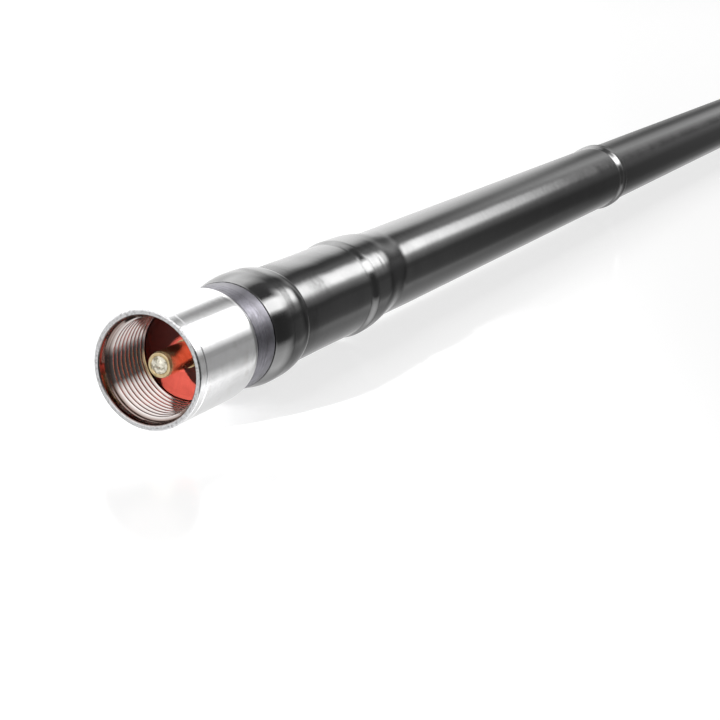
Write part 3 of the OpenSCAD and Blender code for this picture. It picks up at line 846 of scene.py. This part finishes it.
emboss(tree, shader, add_effect(tree, draw_lines, Fineness=900.0, Peel=0.9)["Height"], 0.03)
cap.data.materials.append(satin_black)
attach(cap, "antenna")
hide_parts("tip_cap")


# STUDIO
# A white table under a broad soft lamp behind the whip, and a narrow spot that shines into the plug.
# The glossy pieces mirror walls that are brightest in long soft boxes, with a dark gap in them.


def mix_shaders(tree, share, first, second):
    """First shader with a share of the second."""
    return add_node(
        tree, "ShaderNodeMixShader", i0=share, i1=first.outputs[0], i2=second.outputs[0]
    )


FLOOR_Z = -9.3
FLOOR_REACH = 6000
floor_corners = [
    (-FLOOR_REACH, -FLOOR_REACH, FLOOR_Z), (FLOOR_REACH, -FLOOR_REACH, FLOOR_Z),
    (FLOOR_REACH, FLOOR_REACH, FLOOR_Z), (-FLOOR_REACH, FLOOR_REACH, FLOOR_Z),
]
floor = add_piece("floor", floor_corners, [(0, 1, 2, 3)])
table_top = bpy.data.materials.new("table_top")
table_top.use_nodes = True
tree = table_top.node_tree
tree.nodes.clear()
rays = add_node(tree, "ShaderNodeLightPath").outputs
glow = add_node(tree, "ShaderNodeEmission", Color=(1.0, 1.0, 1.0), Strength=0.83)
paint = add_node(tree, "ShaderNodeBsdfDiffuse", Color=(0.5, 0.5, 0.5))
lit = add_node(tree, "ShaderNodeAddShader", i0=glow.outputs[0], i1=paint.outputs[0])
sheen = add_node(tree, "ShaderNodeBsdfGlossy", Color=(1.0, 1.0, 1.0), Roughness=0.12)
seen = mix_shaders(tree, 0.1, lit, sheen)
plain = add_node(tree, "ShaderNodeBsdfDiffuse", Color=(0.15, 0.15, 0.15))
clear = add_node(tree, "ShaderNodeBsdfTransparent")
unseen = mix_shaders(tree, rays["Is Glossy Ray"], plain, clear)
shown = mix_shaders(tree, rays["Is Camera Ray"], unseen, seen)
add_node(tree, "ShaderNodeOutputMaterial", Surface=shown.outputs[0])
floor.data.materials.append(table_top)


def add_lamp(data, at, axes):
    """Places a lamp with its own three axes, which the glossy pieces don't mirror."""
    lamp = bpy.data.objects.new(data.name, data)
    lamp.matrix_world = axes.to_4x4()
    lamp.location = at
    lamp.visible_glossy = False
    bpy.context.scene.collection.objects.link(lamp)


# The back lamp is a broad panel with its long side along X
panel = bpy.data.lights.new("back_lamp", "AREA")
panel.shape = "RECTANGLE"
panel.size = 3.0
panel.size_y = 2.0
panel.energy = 24.0
panel_at = Vector((0.5, 1.2, 1.6))
facing = (Vector((0.4, 0.0, 0.0)) - panel_at).normalized()
across = facing.cross(Vector((1, 0, 0))).normalized()
along = across.cross(facing)
add_lamp(panel, panel_at, Matrix((along, across, -facing)).transposed())

# The front lamp is a spot about 3 cm wide where it meets the plug
spot = bpy.data.lights.new("front_lamp", "SPOT")
spot.spot_size = math.radians(3.4)
spot.spot_blend = 0.4
spot.shadow_soft_size = 0.012
spot.energy = 48.0
spot_at = Vector((-0.5, 0.17, 0.2))
spot_turn = (Vector((0.004, -0.001, 0.0)) - spot_at).to_track_quat("-Z", "Y")
add_lamp(spot, spot_at, spot_turn.to_matrix())

world = bpy.data.worlds.new("studio")
world.use_nodes = True
bpy.context.scene.world = world
tree = world.node_tree
tree.nodes.clear()
rays = add_node(tree, "ShaderNodeLightPath").outputs
direction = add_node(tree, "ShaderNodeTexCoord").outputs["Generated"]
ray_along = add_node(tree, "ShaderNodeSeparateXYZ", Vector=direction).outputs["X"]
ray_round = spread(tree, bearing_round_x(tree, direction), -math.pi, math.pi)
BRIGHTEST = 16.0
# Brightness of the walls by bearing in degrees: the backdrop is at 0, the ceiling at 90
BEHIND_CAMERA = [
    (-180, 0.07), (-152, 0.07), (-143, 0.3), (-135, 0.75), (-120, 0.9), (-60, 0.9), (-45, 0.85),
    (-26, 0.6), (-8, 0.8), (25, 1.0), (60, 1.2), (100, 1.3), (135, 1.1), (147, 0.5), (155, 0.1),
    (180, 0.07),
]
BEFORE_CAMERA = [
    (-180, 0.3), (-160, 0.3), (-150, 2.6), (-140, 3.4), (-112, 3.2), (-95, 1.8), (-75, 1.1), (-30, 1.0),
    (10, 1.3), (35, 2.2), (50, 4.2), (74, 4.6), (84, 2.2), (90, 0.4), (119, 0.35), (124, 7.0), (128, 16.0),
    (145, 16.0), (150, 4.0), (154, 0.6), (160, 0.3), (180, 0.3),
]
BESIDE_WHIP = [
    (-180, 0.36), (-150, 0.36), (-140, 0.45), (-131, 0.85), (-115, 0.62), (-99, 0.6), (-82, 0.66),
    (-58, 0.72), (-42, 0.8), (-30, 0.95), (6, 1.45), (22, 1.85), (39, 2.15), (52, 2.2), (62, 1.7), (71, 0.7),
    (79, 0.2), (88, 0.28), (96, 0.55), (104, 0.9), (110, 3.2), (114, 6.5), (120, 8.7), (129, 9.8),
    (137, 9.6), (142, 6.5), (147, 3.0), (153, 1.5), (162, 0.8), (170, 0.32), (180, 0.3),
]
DARK_GAP = [
    (-180, 0.12), (-150, 0.15), (-130, 0.35), (-100, 0.5), (-60, 0.65), (-20, 0.85), (10, 1.1), (40, 1.4),
    (60, 1.0), (80, 0.3), (100, 0.4), (120, 0.6), (145, 0.3), (180, 0.12),
]
FAR_END = [
    (-180, 0.08), (-150, 0.08), (-123, 0.14), (-107, 0.22), (-91, 0.33), (-75, 0.47), (-58, 0.6),
    (-42, 0.6), (-9, 0.8), (15, 0.85), (30, 0.75), (47, 0.45), (58, 0.33), (68, 0.45), (79, 0.85),
    (92, 1.2), (100, 1.0), (112, 0.5), (125, 0.28), (145, 0.2), (165, 0.22), (180, 0.1),
]
ALONG_WHIP = [
    (-180, 0.16), (-150, 0.13), (-132, 0.12), (-99, 0.23), (-75, 0.5), (-58, 0.6), (-30, 0.5), (-9, 0.42),
    (22, 0.32), (47, 0.17), (63, 0.29), (79, 0.65), (96, 0.89), (112, 0.59), (121, 0.37), (137, 0.22),
    (153, 0.3), (180, 0.16),
]
# Rings of wall that take over one from the other as a mirrored ray runs more along the whip, as
# [X part of the ray where the ring starts to show, X part where it shows alone, brightness]
RINGS = [
    (0.0, 0.35, BEFORE_CAMERA),
    (0.68, 0.84, BESIDE_WHIP),
    (0.851, 0.855, DARK_GAP),
    (0.86, 0.865, BESIDE_WHIP),
    (0.89, 0.945, FAR_END),
    (0.938, 0.958, ALONG_WHIP),
]


def add_walls(levels):
    """Ring of wall brightness from [bearing, brightness] stops."""
    shades = [((angle + 180) / 360, (level / BRIGHTEST,) * 3) for angle, level in levels]
    return add_ramp(tree, ray_round, shades)


walls = add_walls(BEHIND_CAMERA)
for start, alone, levels in RINGS:
    walls = mix_colours(tree, spread(tree, ray_along, start, alone), walls, add_walls(levels))
mirror_light = add_node(tree, "ShaderNodeBackground", Color=walls, Strength=BRIGHTEST)
room_light = add_node(tree, "ShaderNodeBackground", Color=(1.0, 1.0, 1.0), Strength=0.12)
backdrop = add_node(tree, "ShaderNodeBackground", Color=(1.0, 1.0, 1.0), Strength=1.0)
bounced = mix_shaders(tree, rays["Is Glossy Ray"], room_light, mirror_light)
shown = mix_shaders(tree, rays["Is Camera Ray"], bounced, backdrop)
add_node(tree, "ShaderNodeOutputWorld", Surface=shown.outputs[0])

bpy.context.scene.view_settings.view_transform = "Standard"

camera_data = bpy.data.cameras.new("camera")
camera_data.sensor_width = 36
camera_data.lens = 80.9
camera = bpy.data.objects.new("camera", camera_data)
camera.location = (-0.188599, -0.122776, 0.059857)
swing, lift = math.radians(-64.725), math.radians(14.64)
back = Vector((math.sin(swing) * math.cos(lift), -math.cos(swing) * math.cos(lift), math.sin(lift)))
camera.rotation_euler = back.to_track_quat("Z", "Y").to_euler()
camera_data.clip_start = 0.01
camera_data.clip_end = 50
bpy.context.scene.collection.objects.link(camera)
bpy.context.scene.camera = camera
